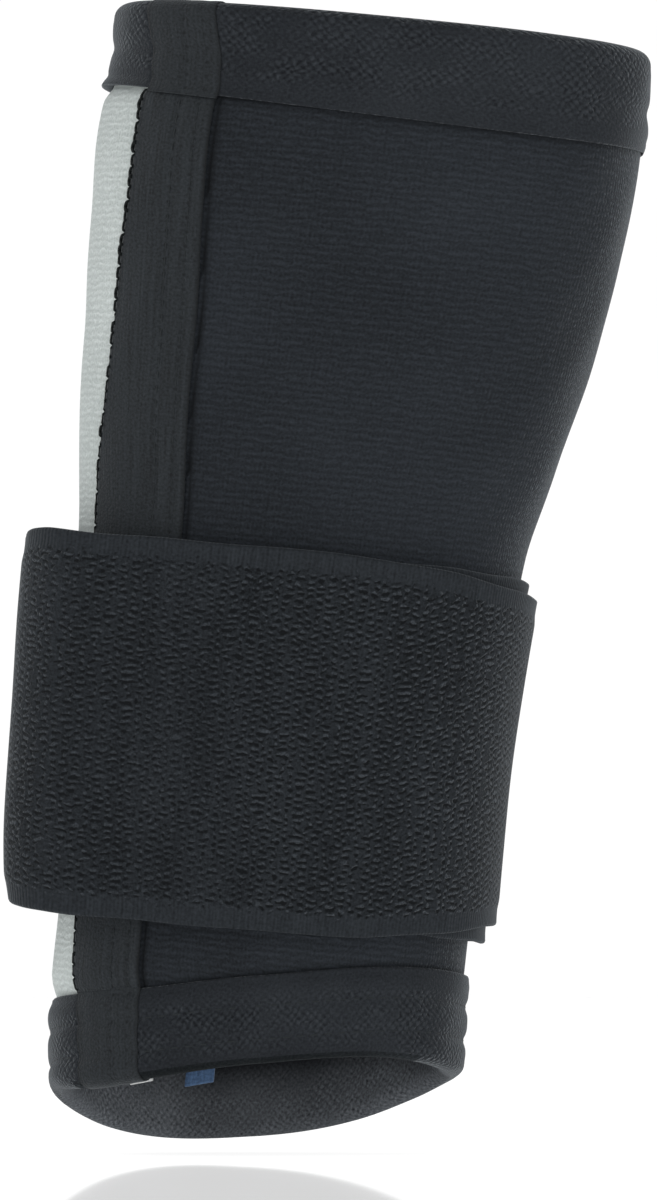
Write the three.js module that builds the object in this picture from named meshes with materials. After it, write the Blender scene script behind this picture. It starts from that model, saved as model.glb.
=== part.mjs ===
// Wrist brace: a knitted sleeve with folded ends, a taped seam and a wide elastic strap wound twice round it.
// Millimetres, +Z along the arm towards the forearm end. The front faces -Y and the seam tape is on the -X side.
// The origin is the middle of the wrist hollow, at half the strap's height.
import * as THREE from 'three';

// Clearance between pieces that touch
const gap = 0.3;

// Sleeve: outer sizes of the knitted tube at its forearm end, at the wrist and at its hand end
const wall = 3;
const forearmWidth = 92.2;
const forearmDepth = 66;
const wristWidth = 72.1;
const wristDepth = 55;
const handWidth = 66.6;
const handDepth = 49;
const topHeight = 122.2;
const bottomDepth = 58.3;
const forearmShift = 5.15;
const handShift = 1.8;
const squareness = 2.5;

// Rims: each tilt is the rise from the middle to the +X side. The hand end also rises at the front of its middle
// and hangs lower at the back.
const forearmTilt = 0.5;
const handTilt = 4.3;
const handFrontRise = 4.3;
const handBackDrop = 9.6;

// Hems: each end of the sleeve is folded outwards, with the fold's roll standing above the wall's end.
// The top hem is taller towards +X and at the front, and the bottom hem is shorter at the front.
const topHemHeight = 15.7;
const topHemTilt = 1.4;
const topHemFrontDip = 1.3;
const bottomHemHeight = 17;
const bottomHemFrontCut = 2.1;
const hemCloth = 1.5;
const hemRoll = 6;

// Seam tape over the join of the two panels, and the same tape where the folds show the inside of the seam
const tapeCloth = 0.8;

// Strap: one elastic band, hugging the sleeve on its first turn and bulging at the left on its second. Its lower
// edge flares at the +X side, and on the second turn by the outer share of that.
const strapWidth = 62;
const strapCloth = 1.6;
const strapTopBulge = 5.9;
const strapBottomBulge = 7;
const strapFlare = 1.4;
const outerFlareShare = 0.7;

// Hook tab under the strap's tail, between two angles of the wind
const hookCloth = 1;
const hookWidth = 40;
const hookStart = 528;
const hookEnd = 556;

// Degrees from the seam's middle to each panel's edge, where the two panels are sewn together
const seamSlitAngle = 0.25;

// Labels sewn inside the front of the hand end
const sizeTabWidth = 4.6;
const sizeTabCloth = 0.8;
const sizeTabShown = 1.8;
const sizeTabPlace = -9.6;
const careLabelWidth = 3.6;
const careLabelCloth = 0.4;
const careLabelShown = 0.2;
const careLabelPlace = -19.3;
const labelSewn = 9;

// Fineness: steps round the full circle, across the tape and across a label
const fullTurn = 360;
const turnSteps = 48;
const stepAngle = fullTurn / turnSteps;
const tapeSteps = 4;
const labelSteps = 2;

// Sections above the wrist. height: share of topHeight. follow: share of the rim's dip that the row takes.
// flare: share of the way from the wrist's size to the forearm's. shift: share of forearmShift.
const forearmSections = [
  { height: 0, follow: 0, flare: 0, shift: -0.06 },
  { height: 0.12, follow: 0, flare: 0.08, shift: -0.08 },
  { height: 0.28, follow: 0, flare: 0.2, shift: 0 },
  { height: 0.41, follow: 0.1, flare: 0.46, shift: 0.19 },
  { height: 0.56, follow: 0.3, flare: 0.7, shift: 0.5 },
  { height: 0.7, follow: 0.6, flare: 0.9, shift: 0.7 },
  { height: 0.81, follow: 1, flare: 1, shift: 0.84 },
  { height: 0.86, follow: 1, flare: 0.98, shift: 0.9 },
  { height: 0.885, follow: 1, flare: 0.86, shift: 0.95 },
  { height: 0.92, follow: 1, flare: 0.82, shift: 1 },
  { height: 1, follow: 1, flare: 0.81, shift: 0.91 },
];

// Sections below the wrist. height: share of bottomDepth. follow, flare and shift: as above, for the hand end.
const handSections = [
  { height: 0.26, follow: 0, flare: 0.17, shift: 0 },
  { height: 0.54, follow: 0.25, flare: 0.45, shift: 0.18 },
  { height: 0.68, follow: 0.8, flare: 0.5, shift: 0.22 },
  { height: 0.765, follow: 1, flare: 0.97, shift: 0.47 },
  { height: 0.86, follow: 1, flare: 1, shift: 0.67 },
  { height: 1, follow: 1, flare: 1, shift: 1 },
];

// Tape edges down the sleeve. height: share of topHeight above the wrist, or minus a share of bottomDepth below.
// left, right: shares of the half width there, both on the -X side of the centre line.
const tapeEdges = [
  { height: 0.88, left: 0.844, right: 0.578 },
  { height: 0.73, left: 0.842, right: 0.568 },
  { height: 0.6, left: 0.857, right: 0.556 },
  { height: 0.45, left: 0.868, right: 0.54 },
  { height: 0.28, left: 0.897, right: 0.52 },
  { height: -0.61, left: 0.882, right: 0.573 },
  { height: -1, left: 0.845, right: 0.563 },
];

// The same for the tape on the top hem, which shows the inside of the seam
const topHemTapeEdges = [
  { height: 1, left: 0.88, right: 0.629 },
  { height: 0.87, left: 0.822, right: 0.564 },
];

// The strap's wind. angle: degrees from the front towards +X, counted on through both turns, from the sewn start
// at the left of the back to the loose tail behind. rise: share of strapWidth that the band's middle stands above
// the wrist's. width: share of strapWidth.
const strapPath = [
  { angle: -130, rise: 0, width: 0.99 },
  { angle: 0, rise: 0.003, width: 1 },
  { angle: 90, rise: 0.008, width: 0.996 },
  { angle: 270, rise: -0.01, width: 0.98 },
  { angle: 300, rise: -0.012, width: 1.036 },
  { angle: 360, rise: -0.01, width: 1.036 },
  { angle: 450, rise: 0.012, width: 0.9 },
  { angle: 560, rise: 0.02, width: 0.82 },
];

// Outer face of a hem, from its free edge to the rim. along: share of the hem's height. out: share of hemCloth
// that it stands beyond the cloth's plain thickness.
const hemFace = [
  { along: 0, out: -0.15 },
  { along: 0.06, out: 0.1 },
  { along: 0.28, out: 0.2 },
  { along: 0.46, out: -0.1 },
  { along: 0.7, out: 0.25 },
];

// Steps of the half-circle roll over a hem's rim, and of the hem's leg inside it, against the wall
const rollSteps = 5;
const legRows = 3;

// Angles, in degrees from the front towards +X: the seam at the back, the join under the tape, and the middles of
// the rise and the drop of the hand end. Powers make these lobes narrower.
const backSeam = 214;
const tapeMiddle = -44;
const riseMiddle = 22;
const risePower = 2.4;
const dropMiddle = 188;
const dropPower = 1.5;
const frontPower = 1.5;

// Strap, in degrees along its wind: its ramps beside the tape and over its own start, and where it bulges
const tapeRamp = 12;
const startRamp = 22;
const bulgeFrom = 232;
const bulgeTo = 338;
const strapRows = 4;
const flareMiddle = 90;
const flarePower = 3;
const flareEdgePower = 6;

// On the hems the tape lies on their outer faces up to the start of the roll
const rollClear = 3;
const hemTapeRows = 4;

// Sections that lie under a hem, at each end of the sleeve
const hemSections = 3;

// Shapes the superellipse: keeps the sign and flattens the sides as squareness grows
function squared(value) {
  return Math.sign(value) * Math.abs(value) ** (2 / squareness);
}

function radians(degrees) {
  return (degrees * Math.PI) / 180;
}

function mix(from, to, share) {
  return from + (to - from) * share;
}

// Goes from 0 to 1 between two limits, level at both ends
function smoothStep(from, to, value) {
  const share = Math.min(1, Math.max(0, (value - from) / (to - from)));
  return share * share * (3 - 2 * share);
}

// Lobe of 1 at an angle, falling to 0 a quarter turn away
function lobe(angle, middle, power) {
  return Math.max(0, Math.cos(radians(angle - middle))) ** power;
}

// Place across the sleeve at an angle: -1 at its -X side, 1 at its +X side
function acrossAt(angle) {
  return squared(Math.sin(radians(angle)));
}

function topRim(angle) {
  return topHeight + forearmTilt * acrossAt(angle);
}

function bottomRim(angle) {
  const rise = handFrontRise * lobe(angle, riseMiddle, risePower);
  const drop = handBackDrop * lobe(angle, dropMiddle, dropPower);
  return -bottomDepth + handTilt * acrossAt(angle) + rise - drop;
}

// Heights of the two hems' free edges
function topHemEdge(angle) {
  return topRim(angle) - topHemHeight - topHemTilt * acrossAt(angle) - topHemFrontDip * lobe(angle, 0, frontPower);
}

function bottomHemEdge(angle) {
  return bottomRim(angle) + bottomHemHeight - bottomHemFrontCut * lobe(angle, 0, frontPower);
}

// All section rows from the hand end to the forearm end, at one angle round the sleeve
function sectionRows(angle) {
  const rows = [];
  for (const row of handSections) {
    rows.unshift({
      z: -row.height * bottomDepth + row.follow * (bottomRim(angle) + bottomDepth),
      halfWidth: mix(wristWidth, handWidth, row.flare) / 2,
      halfDepth: mix(wristDepth, handDepth, row.flare) / 2,
      shift: row.shift * handShift,
    });
  }
  for (const row of forearmSections) {
    rows.push({
      z: row.height * topHeight + row.follow * (topRim(angle) - topHeight),
      halfWidth: mix(wristWidth, forearmWidth, row.flare) / 2,
      halfDepth: mix(wristDepth, forearmDepth, row.flare) / 2,
      shift: row.shift * forearmShift,
    });
  }
  return rows;
}

// Size of the sleeve's outside at an angle and height, straight between the section rows
function sizeAt(angle, z) {
  const rows = sectionRows(angle);
  let upper = rows.findIndex((row) => row.z > z);
  if (upper === -1) {
    upper = rows.length - 1;
  }
  upper = Math.max(1, upper);
  const low = rows[upper - 1];
  const high = rows[upper];
  const share = Math.min(1, Math.max(0, (z - low.z) / (high.z - low.z)));
  return {
    halfWidth: mix(low.halfWidth, high.halfWidth, share),
    halfDepth: mix(low.halfDepth, high.halfDepth, share),
    shift: mix(low.shift, high.shift, share),
  };
}

// Point at an angle and height, moved out from the sleeve's outer face
function sleevePoint(angle, z, out) {
  const size = sizeAt(angle, z);
  const x = size.shift + (size.halfWidth + out) * acrossAt(angle);
  const y = -(size.halfDepth + out) * squared(Math.cos(radians(angle)));
  return new THREE.Vector3(x, y, z);
}

// Value of one column of a table that is ordered by falling height
function tableAt(table, column, height) {
  const next = table.findIndex((row) => row.height < height);
  if (next === 0) {
    return table[0][column];
  }
  if (next === -1) {
    return table[table.length - 1][column];
  }
  const above = table[next - 1];
  const below = table[next];
  return mix(above[column], below[column], (above.height - height) / (above.height - below.height));
}

// Angle on the -X half of the front where the sleeve's outline reaches a share of its half width
function angleAtShare(share) {
  return (-Math.asin(share ** (squareness / 2)) * 180) / Math.PI;
}

function tapeEdgeAngle(table, side, z) {
  const height = z > 0 ? z / topHeight : z / bottomDepth;
  return angleAtShare(tableAt(table, side, height));
}

// Closed body through a row of section loops. A ring joins its last loop to its first. An open run is capped,
// and there each loop runs along one face and back along the other, so that its points pair up.
function sweep(loops, isRing) {
  const count = loops[0].length;
  const positions = [];
  for (const loop of loops) {
    for (const point of loop) {
      positions.push(point.x, point.y, point.z);
    }
  }
  const faces = [];
  const joints = isRing ? loops.length : loops.length - 1;
  for (let i = 0; i < joints; i += 1) {
    const here = i * count;
    const there = ((i + 1) % loops.length) * count;
    for (let j = 0; j < count; j += 1) {
      const next = (j + 1) % count;
      faces.push([here + j, there + j, there + next], [here + j, there + next, here + next]);
    }
  }
  if (!isRing) {
    const last = (loops.length - 1) * count;
    for (let j = 0; j < count / 2 - 1; j += 1) {
      const pair = count - 1 - j;
      faces.push([j, j + 1, pair - 1], [j, pair - 1, pair]);
      faces.push([last + j, last + pair - 1, last + j + 1], [last + j, last + pair, last + pair - 1]);
    }
  }
  return facingOut(positions, faces);
}

// Geometry whose faces are turned round as a whole where they enclose a negative volume
function facingOut(positions, faces) {
  const corner = (index) => new THREE.Vector3().fromArray(positions, index * 3);
  let volume = 0;
  for (const [a, b, c] of faces) {
    volume += corner(a).dot(corner(b).cross(corner(c))) / 6;
  }
  const ordered = volume > 0 ? faces : faces.map(([a, b, c]) => [a, c, b]);
  const geometry = new THREE.BufferGeometry();
  geometry.setAttribute('position', new THREE.Float32BufferAttribute(positions, 3));
  geometry.setIndex(ordered.flat());
  geometry.computeVertexNormals();
  return geometry;
}

// Patch of cloth on the sleeve. edges(z) gives its first and last angle, rows is a list of its heights at an angle,
// and inner and outer how far its faces stand out from the sleeve's outer face, at a row's share of the rows.
function patch({ edges, rows, steps, inner, outer }) {
  const middle = (edges(0)[0] + edges(0)[1]) / 2;
  const middleRows = rows(middle);
  const loops = [];
  for (let i = 0; i <= steps; i += 1) {
    const outside = [];
    const inside = [];
    middleRows.forEach((middleZ, j) => {
      const [first, last] = edges(middleZ);
      const angle = mix(first, last, i / steps);
      const z = rows(angle)[j];
      const share = j / (middleRows.length - 1);
      outside.push(sleevePoint(angle, z, outer(share)));
      inside.unshift(sleevePoint(angle, z, inner(share)));
    });
    loops.push([...outside, ...inside]);
  }
  return sweep(loops, false);
}

// Rows spread evenly between two heights
function evenRows(lowest, highest, count) {
  return (angle) => evenShares(count).map((share) => mix(lowest(angle), highest(angle), share));
}

// Evenly spread shares from 0 to 1
function evenShares(count) {
  return Array.from({ length: count + 1 }, (_, i) => i / count);
}

// The wall ends inside both hems, and between its ends it has a row at each section
function wallRows(angle) {
  const between = sectionRows(angle).slice(1, -1).map((row) => row.z);
  return [bottomRim(angle) + hemRoll + gap, ...between, topRim(angle) - hemRoll - gap];
}

// Knitted wall of the sleeve between two edges that follow the seam
function wallPanel(edges, steps) {
  return patch({
    edges,
    rows: wallRows,
    steps,
    inner: () => -wall,
    outer: () => 0,
  });
}

// The two panels meet under the middle of the tape and at the back seam
function mainPanel() {
  const edges = () => [tapeMiddle + seamSlitAngle, backSeam - seamSlitAngle];
  return wallPanel(edges, Math.round((backSeam - tapeMiddle) / stepAngle));
}

function sidePanel() {
  const edges = () => [backSeam + seamSlitAngle - fullTurn, tapeMiddle - seamSlitAngle];
  return wallPanel(edges, Math.round((tapeMiddle + fullTurn - backSeam) / stepAngle));
}

function hemFaceAt(along) {
  const next = hemFace.findIndex((row) => row.along > along);
  if (next <= 0) {
    return gap + hemCloth * (1 + hemFace[next === 0 ? 0 : hemFace.length - 1].out);
  }
  const low = hemFace[next - 1];
  const high = hemFace[next];
  return gap + hemCloth * (1 + mix(low.out, high.out, (along - low.along) / (high.along - low.along)));
}

// Hem: the wall's cloth continues over the wall's end and back outside it, from its rim to its free edge
function hem(rim, freeEdge) {
  const loops = [];
  const topOut = hemFaceAt(1);
  const radius = (topOut + wall) / 2;
  const middle = (topOut - wall) / 2;
  for (let i = 0; i < turnSteps; i += 1) {
    const angle = i * stepAngle;
    const height = Math.abs(rim(angle) - freeEdge(angle));
    const place = (out, inwards) => sleevePoint(angle, mix(rim(angle), freeEdge(angle), inwards / height), out);
    const loop = [];
    for (const row of hemFace) {
      loop.push(place(hemFaceAt(row.along), height * (1 - row.along)));
    }
    for (let j = 0; j <= rollSteps; j += 1) {
      const turn = (Math.PI * j) / rollSteps;
      loop.push(place(middle + radius * Math.cos(turn), radius * (1 - Math.sin(turn))));
    }
    loop.push(place(-wall, hemRoll));
    for (const share of evenShares(legRows)) {
      loop.push(place(gap, mix(hemRoll, height, share)));
    }
    loops.push(loop);
  }
  return sweep(loops, true);
}

// Tape over the seam between the edges in a table, standing on the face that base gives
function tapeStrip(table, rows, base) {
  return patch({
    edges: (z) => [tapeEdgeAngle(table, 'left', z), tapeEdgeAngle(table, 'right', z)],
    rows,
    steps: tapeSteps,
    inner: (share) => base(share) + gap,
    outer: (share) => base(share) + gap + tapeCloth,
  });
}

// Between the hems the tape has a row at each section of the sleeve
function tapeRows(angle) {
  const lowest = bottomHemEdge(angle) + gap;
  const highest = topHemEdge(angle) - gap;
  const between = sectionRows(angle).slice(hemSections, -hemSections).map((row) => row.z);
  return [lowest, ...between, highest];
}

// How far the strap's first turn has to clear the tape at an angle: full over the tape, ramping down beside it
function tapeRise(angle) {
  const ends = [strapWidth / 2, -strapWidth / 2];
  const first = Math.min(...ends.map((z) => tapeEdgeAngle(tapeEdges, 'left', z)));
  const last = Math.max(...ends.map((z) => tapeEdgeAngle(tapeEdges, 'right', z)));
  const turned = ((angle + fullTurn / 2) % fullTurn) - fullTurn / 2;
  const margin = stepAngle;
  const up = smoothStep(first - margin - tapeRamp, first - margin, turned);
  const down = 1 - smoothStep(last + margin, last + margin + tapeRamp, turned);
  return (gap + tapeCloth) * up * down;
}

// How far the strap's inner face stands out from the sleeve, at an angle along the wind and a share of its width
function strapLift(angle, across) {
  const layer = strapCloth + gap;
  const overStart = strapPath[0].angle + fullTurn - stepAngle;
  const secondTurn = smoothStep(overStart - startRamp, overStart, angle);
  const bulgeShare = Math.sin(Math.PI * Math.min(1, Math.max(0, (angle - bulgeFrom) / (bulgeTo - bulgeFrom))));
  const bulge = mix(strapBottomBulge, strapTopBulge, across) * bulgeShare ** 2;
  const flareSize = strapFlare * mix(1, outerFlareShare, secondTurn);
  const flare = flareSize * lobe(angle, flareMiddle, flarePower) * (1 - across) ** flareEdgePower;
  const overHook = (hookCloth + gap) * smoothStep(hookStart - startRamp, hookStart - stepAngle, angle);
  return gap + tapeRise(angle) + layer * secondTurn + bulge + flare + overHook;
}

// Rise or width of the strap at an angle of its wind, easing from row to row of its path
function strapColumn(column, angle) {
  const next = Math.max(1, strapPath.findIndex((row) => row.angle >= angle));
  const before = strapPath[next - 1];
  const after = strapPath[next];
  return strapWidth * mix(before[column], after[column], smoothStep(before.angle, after.angle, angle));
}

// One band across the strap's width at each step of the wind
function strap() {
  const loops = [];
  const start = strapPath[0].angle;
  const end = strapPath[strapPath.length - 1].angle;
  const steps = Math.round((end - start) / stepAngle);
  for (let i = 0; i <= steps; i += 1) {
    const angle = mix(start, end, i / steps);
    const outside = [];
    const inside = [];
    for (const across of evenShares(strapRows)) {
      const z = strapColumn('rise', angle) + strapColumn('width', angle) * (across - 0.5);
      const lift = strapLift(angle, across);
      outside.push(sleevePoint(angle, z, lift + strapCloth));
      inside.unshift(sleevePoint(angle, z, lift));
    }
    loops.push([...outside, ...inside]);
  }
  return sweep(loops, false);
}

// Hook tab: lies on the strap's first turn, under the raised tail
function hookTab() {
  const base = strapCloth + gap + gap;
  return patch({
    edges: () => [hookStart, hookEnd],
    rows: evenRows(() => -hookWidth / 2, () => hookWidth / 2, strapRows),
    steps: tapeSteps,
    inner: () => base,
    outer: () => base + hookCloth,
  });
}

// Label sewn inside the front, from a height inside the hem to a little below its rim
function label({ place, width, cloth, shown }) {
  const halfWidth = handWidth / 2 - wall;
  const toAngle = (x) => angleAtShare(-x / halfWidth);
  return patch({
    edges: () => [toAngle(place - width / 2), toAngle(place + width / 2)],
    rows: evenRows((angle) => bottomRim(angle) - shown, (angle) => bottomRim(angle) + labelSewn, labelSteps),
    steps: labelSteps,
    inner: () => -wall - gap - cloth,
    outer: () => -wall - gap,
  });
}

// Materials, with the colours of the real cloths
const knitCloth = new THREE.MeshStandardMaterial({ color: 0x26292d, roughness: 0.92, metalness: 0 });
const greyCloth = new THREE.MeshStandardMaterial({ color: 0xb9bfbf, roughness: 0.92, metalness: 0 });
const liningCloth = new THREE.MeshStandardMaterial({ color: 0x2a2d31, roughness: 0.95, metalness: 0 });
const tapeFabric = new THREE.MeshStandardMaterial({ color: 0x2b2f32, roughness: 0.8, metalness: 0 });
const strapFabric = new THREE.MeshStandardMaterial({ color: 0x24282d, roughness: 0.85, metalness: 0 });
const hookPlastic = new THREE.MeshStandardMaterial({ color: 0x1c1d1f, roughness: 0.6, metalness: 0 });
const blueRibbon = new THREE.MeshStandardMaterial({ color: 0x35485f, roughness: 0.7, metalness: 0 });
const whiteRibbon = new THREE.MeshStandardMaterial({ color: 0xd9dbda, roughness: 0.7, metalness: 0 });

const brace = new THREE.Group();

function add(name, geometry, material) {
  const mesh = new THREE.Mesh(geometry, material);
  mesh.name = name;
  brace.add(mesh);
}

add('main_panel', mainPanel(), knitCloth);
add('side_panel', sidePanel(), greyCloth);
add('top_hem', hem(topRim, topHemEdge), liningCloth);
add('bottom_hem', hem(bottomRim, bottomHemEdge), liningCloth);
add('seam_tape', tapeStrip(tapeEdges, tapeRows, () => 0), tapeFabric);
add('top_hem_tape', tapeStrip(
  topHemTapeEdges,
  evenRows(topHemEdge, (angle) => topRim(angle) - rollClear, hemTapeRows),
  (share) => hemFaceAt(share * (1 - rollClear / topHemHeight)),
), tapeFabric);
add('bottom_hem_tape', tapeStrip(
  tapeEdges,
  evenRows((angle) => bottomRim(angle) + rollClear, bottomHemEdge, hemTapeRows),
  (share) => hemFaceAt((1 - share) * (1 - rollClear / bottomHemHeight)),
), tapeFabric);
add('strap', strap(), strapFabric);
add('hook_tab', hookTab(), hookPlastic);
add('size_tab', label({
  place: sizeTabPlace,
  width: sizeTabWidth,
  cloth: sizeTabCloth,
  shown: sizeTabShown,
}), blueRibbon);
add('care_label', label({
  place: careLabelPlace,
  width: careLabelWidth,
  cloth: careLabelCloth,
  shown: careLabelShown,
}), whiteRibbon);

export default brace;
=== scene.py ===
import math

import bpy
import numpy as np
from mathutils import Matrix


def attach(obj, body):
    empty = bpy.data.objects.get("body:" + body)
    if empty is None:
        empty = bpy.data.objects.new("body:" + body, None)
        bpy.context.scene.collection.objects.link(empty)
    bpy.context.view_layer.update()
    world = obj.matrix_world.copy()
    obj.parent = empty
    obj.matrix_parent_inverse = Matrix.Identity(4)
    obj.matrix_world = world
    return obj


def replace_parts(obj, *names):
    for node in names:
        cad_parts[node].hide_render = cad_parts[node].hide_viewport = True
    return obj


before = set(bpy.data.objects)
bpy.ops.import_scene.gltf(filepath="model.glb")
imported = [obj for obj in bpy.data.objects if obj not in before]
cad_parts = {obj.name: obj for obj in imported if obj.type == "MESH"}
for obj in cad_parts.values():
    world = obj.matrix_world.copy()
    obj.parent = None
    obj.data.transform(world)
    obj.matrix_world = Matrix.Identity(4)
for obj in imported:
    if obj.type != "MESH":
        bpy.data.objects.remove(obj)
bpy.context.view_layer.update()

# Wrist brace: the knitted sleeve, its folded ends, the seam tape and the wound strap, with their cloth and
# stitches. Shapes are worked out in millimetres in the frame of the solids: +Z along the arm, and the front
# faces -Y.
MILLIMETRE = 0.001

# Sizes of the solids
GAP = 0.3
WALL = 3.0
FOREARM_WIDTH, FOREARM_DEPTH = 92.2, 66.0
WRIST_WIDTH, WRIST_DEPTH = 72.1, 55.0
HAND_WIDTH, HAND_DEPTH = 66.6, 49.0
TOP_HEIGHT, BOTTOM_DEPTH = 122.2, 58.3
FOREARM_SHIFT, HAND_SHIFT = 5.15, 1.8
SQUARENESS = 2.5
HEM_CLOTH = 1.5
TAPE_CLOTH = 0.8
STRAP_WIDTH, STRAP_CLOTH = 62.0, 1.6
STRAP_TOP_BULGE, STRAP_BOTTOM_BULGE, STRAP_FLARE = 5.9, 7.0, 1.4
HOOK_CLOTH, HOOK_START = 1.0, 528.0
BACK_SEAM, TAPE_MIDDLE, SLIT = 214.0, -44.0, 0.25
TOP_HEM_HEIGHT, BOTTOM_HEM_HEIGHT = 15.7, 17.0

# Sizes that only the cloth's meshes need: the hems' lining inside, the tape on the hems, and the stitches
LINING_DEPTH, LINING_CLOTH = 22.0, 1.2
HEM_TAPE_CLOTH = 0.2
STITCH_COLUMNS = (2.2, 5.4)
NEEDLE_STEP, HAND_STEP = 2.4, 2.6

# Valleys that the stitches press into the hems. Columns: millimetres from the free edge, depth, half width.
TOP_VALLEYS = ((1.9, 0.3, 0.8), (6.8, 0.45, 1.5))
BOTTOM_VALLEYS = ((5.2, 0.5, 1.1), (10.8, 0.55, 1.1))

# Sections up the sleeve. Columns: share of the end's height, share of the rim's dip that it takes, share of
# the way from the wrist's size to the end's, share of the end's shift.
FOREARM_ROWS = np.array([
    (0, 0, 0, -0.06), (0.12, 0, 0.08, -0.08), (0.28, 0, 0.2, 0), (0.41, 0.1, 0.46, 0.19),
    (0.56, 0.3, 0.7, 0.5), (0.7, 0.6, 0.9, 0.7), (0.81, 1, 1, 0.84), (0.86, 1, 0.98, 0.9),
    (0.885, 1, 0.86, 0.95), (0.92, 1, 0.82, 1), (1, 1, 0.81, 0.91),
])
HAND_ROWS = np.array([
    (0.26, 0, 0.17, 0), (0.54, 0.25, 0.45, 0.18), (0.68, 0.8, 0.5, 0.22), (0.765, 1, 0.97, 0.47),
    (0.86, 1, 1, 0.67), (1, 1, 1, 1),
])

# Tape edges. Columns: share of the end's height, left and right edge as shares of the half width.
TAPE_ROWS = np.array([
    (-1, 0.845, 0.563), (-0.61, 0.882, 0.573), (0.28, 0.897, 0.52), (0.45, 0.868, 0.54), (0.6, 0.857, 0.556),
    (0.73, 0.842, 0.568), (0.88, 0.844, 0.578),
])
TOP_TAPE_ROWS = np.array([(0.87, 0.822, 0.564), (1, 0.88, 0.629)])

# The strap's wind. Columns: degrees along it, share of its width that its middle is raised, width as a share.
STRAP_ROWS = np.array([
    (-130, 0, 0.99), (0, 0.003, 1), (90, 0.008, 0.996), (270, -0.01, 0.98), (300, -0.012, 1.036),
    (360, -0.01, 1.036), (450, 0.012, 0.9), (560, 0.02, 0.82),
])


def mix(low, high, share):
    return low + (high - low) * share


def smooth_step(low, high, value):
    """0 below low, 1 above high, and three squares less two cubes of the share between."""
    share = np.clip((value - low) / (high - low), 0, 1)
    return share * share * (3 - 2 * share)


def squared(value):
    """Keeps the sign and raises the size to two over the squareness: a circle becomes a superellipse."""
    return np.sign(value) * np.abs(value) ** (2 / SQUARENESS)


def lobe(angle, middle, power):
    """A bump of 1 at the middle angle, as a power of the cosine, and 0 a quarter turn away."""
    return np.maximum(0, np.cos(np.radians(angle - middle))) ** power


def turned(angle):
    """The same angle between -180 and 180 degrees."""
    return (angle + 180) % 360 - 180


def across(angle):
    """Place across the sleeve: -1 at its left side, 1 at its right side."""
    return squared(np.sin(np.radians(angle)))


def top_rim(angle):
    return TOP_HEIGHT + 0.5 * across(angle)


def bottom_rim(angle):
    """Level, tilted up to the right, raised at the right of the front and hanging lower at the back."""
    return -BOTTOM_DEPTH + 4.3 * across(angle) + 4.3 * lobe(angle, 22, 2.4) - 9.6 * lobe(angle, 188, 1.5)


def top_edge(angle):
    """Free edge of the upper hem: a little lower to the right and at the front."""
    return top_rim(angle) - TOP_HEM_HEIGHT - 1.4 * across(angle) - 1.3 * lobe(angle, 0, 1.5)


def bottom_edge(angle):
    """Free edge of the lower hem: a little lower at the front and where it rounds off at the left."""
    return bottom_rim(angle) + BOTTOM_HEM_HEIGHT - 2.1 * lobe(angle, 0, 1.5) - 2.4 * lobe(angle, -98, 7)


def through_rows(heights, values, z):
    """Value at z on a monotone cubic through rows: slopes are harmonic means of those beside each row."""
    heights = np.broadcast_to(heights, (len(values),) + z.shape)
    steps = np.diff(heights, axis=0)
    slopes = np.diff(values).reshape((-1,) + (1,) * z.ndim) / steps
    before, after = slopes[:-1], slopes[1:]
    same = before * after > 0
    inner = np.where(same, 2 * before * after / np.where(same, before + after, 1), 0)
    tangents = np.concatenate([slopes[:1], inner, slopes[-1:]])
    index = np.clip((heights <= z).sum(0) - 1, 0, len(values) - 2)

    def pick(table):
        return np.take_along_axis(table, index[None], 0)[0]

    step = pick(steps)
    share = np.clip((z - pick(heights[:-1])) / step, 0, 1)
    low, high = values[index], values[index + 1]
    start, end = pick(tangents[:-1]) * step, pick(tangents[1:]) * step
    square, cube = share ** 2, share ** 3
    return (low * (2 * cube - 3 * square + 1) + start * (cube - 2 * square + share)
            + high * (3 * square - 2 * cube) + end * (cube - square))


def sleeve_size(angle, z):
    """Half width, half depth and sideways shift of the sleeve there, smooth from row to row."""
    hand = HAND_ROWS[::-1]

    def both_ways(wrist, hand_end, forearm_end):
        return np.concatenate([mix(wrist, hand_end, hand[:, 2]), mix(wrist, forearm_end, FOREARM_ROWS[:, 2])])

    dips = np.concatenate([hand[:, 1], FOREARM_ROWS[:, 1]]).reshape((-1,) + (1,) * z.ndim)
    levels = np.concatenate([-hand[:, 0] * BOTTOM_DEPTH, FOREARM_ROWS[:, 0] * TOP_HEIGHT])
    levels = levels.reshape(dips.shape)
    dip = np.where(levels < 0, bottom_rim(angle) + BOTTOM_DEPTH, top_rim(angle) - TOP_HEIGHT)
    heights = levels + dips * dip
    width = both_ways(WRIST_WIDTH, HAND_WIDTH, FOREARM_WIDTH)
    depth = both_ways(WRIST_DEPTH, HAND_DEPTH, FOREARM_DEPTH)
    shift = np.concatenate([hand[:, 3] * HAND_SHIFT, FOREARM_ROWS[:, 3] * FOREARM_SHIFT])
    return tuple(through_rows(heights, values, z) for values in (width / 2, depth / 2, shift))


def unevenness(angle, z):
    """Gentle hills of hand-made cloth: four crossed waves of a few centimetres, flat under the strap."""
    turn = np.radians(angle)
    waves = (0.16 * np.sin(2 * turn + z * 0.06 + 0.7) + 0.12 * np.sin(5 * turn - z * 0.09)
             + 0.09 * np.sin(8 * turn + z * 0.17 + 2.1) + 0.06 * np.sin(13 * turn - z * 0.29 + 0.4))
    return waves * smooth_step(30, 46, np.abs(z))


def sleeve(angle, z, out):
    """Point on the sleeve: a superellipse ring of the size at that height, moved out by out."""
    angle, z, out = np.broadcast_arrays(angle, np.asarray(z, float), out)
    width, depth, shift = sleeve_size(angle, z)
    out = out + unevenness(angle, z)
    turn = np.radians(angle)
    x, y = shift + (width + out) * squared(np.sin(turn)), -(depth + out) * squared(np.cos(turn))
    return np.stack([x, y, z], -1)


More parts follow.
